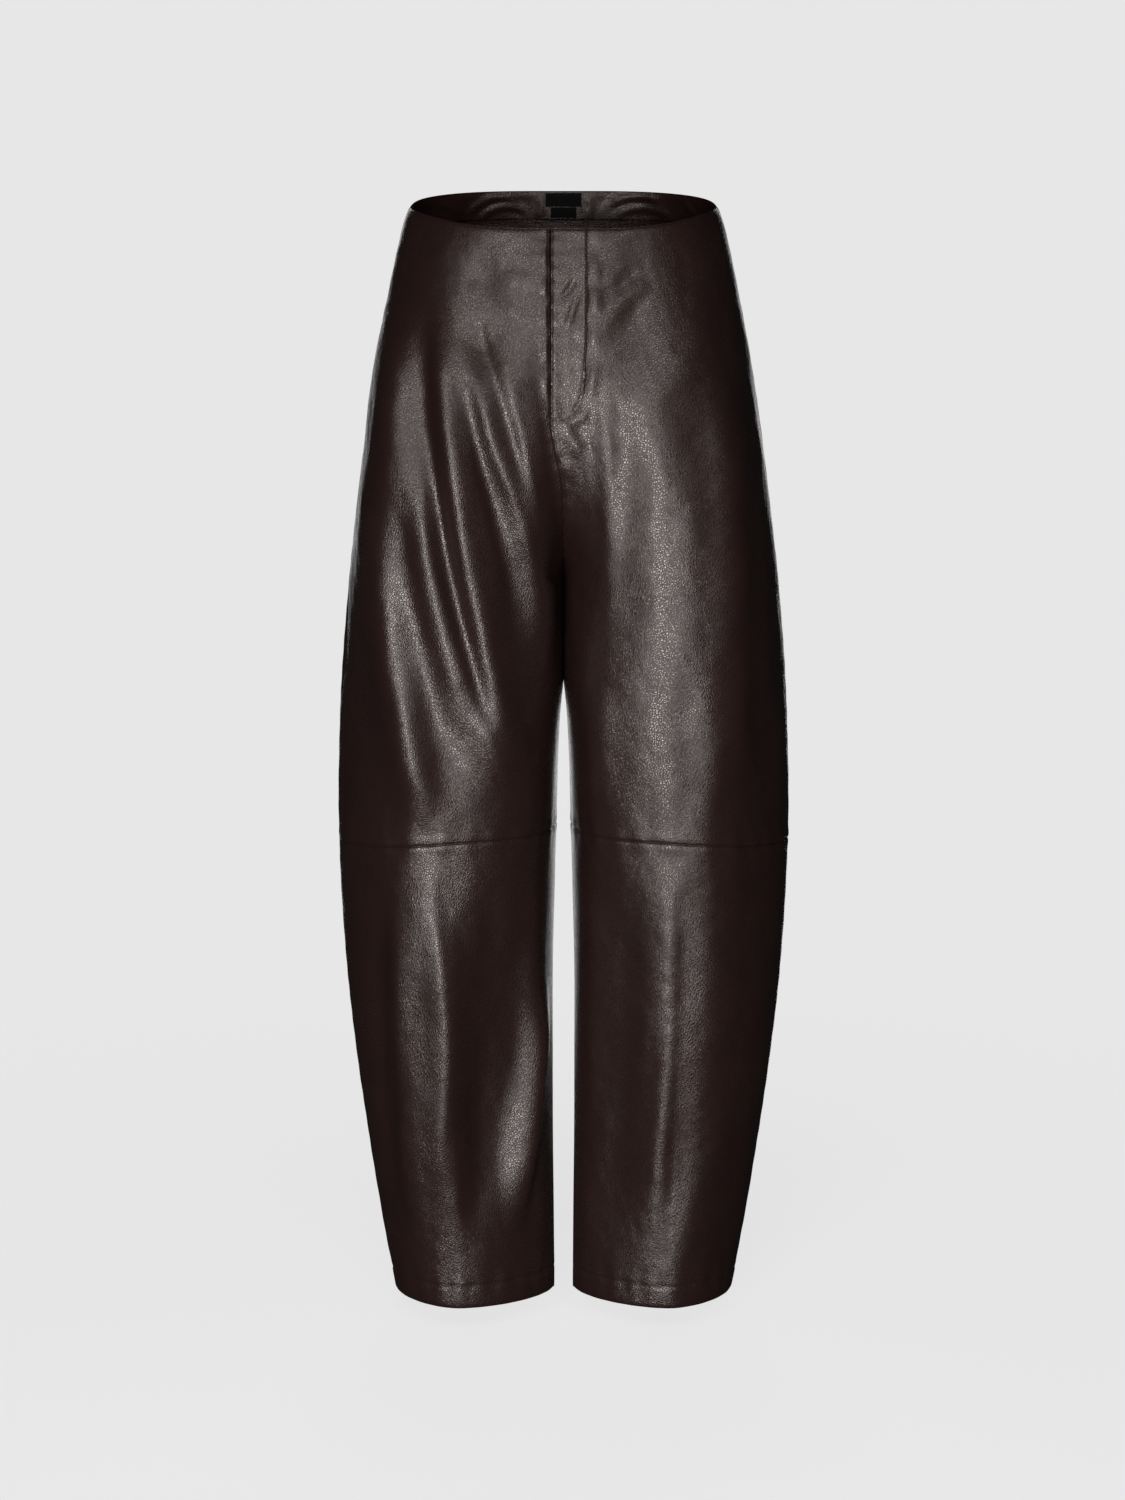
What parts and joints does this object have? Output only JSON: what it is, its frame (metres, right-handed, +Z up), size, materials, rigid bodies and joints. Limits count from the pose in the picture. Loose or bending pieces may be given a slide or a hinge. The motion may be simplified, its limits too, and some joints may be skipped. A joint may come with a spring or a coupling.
{
  "type": "leather trousers",
  "caption": "High-waisted barrel-leg leather trousers, filled out as worn, with a hidden front zip, facings inside the waist and a seam across each knee.",
  "frame": {"origin": "centre of the waist opening, at the height of the rim's side points", "axes": "+Z up, from the hems to the waist; +X to the wearer's left; the front faces -Y"},
  "size_m": [0.43, 0.2624, 1.056],
  "materials": {
    "leather": "smooth grain, dark espresso brown, semi-gloss",
    "facing_leather": "smooth grain, dark espresso brown, softer gloss, crumpled",
    "zip_tape": "woven polyester tape and nylon coil, matt black-brown",
    "zip_metal": "dark lacquered zinc slider",
    "label_satin": "black woven satin, bare"
  },
  "bodies": {
    "root": {"front_right_upper": "leather", "front_left_upper": "leather", "front_right_lower": "leather", "front_left_lower": "leather", "back_right": "leather", "back_left": "leather", "facing_back": "facing_leather", "facing_front_right": "facing_leather", "facing_front_left": "facing_leather", "fly_lap": "facing_leather", "fly_shield": "facing_leather", "zip": "zip_tape", "zip_slider": "zip_metal", "label": "label_satin", "size_label": "label_satin"}
  },
  "joints": []
}
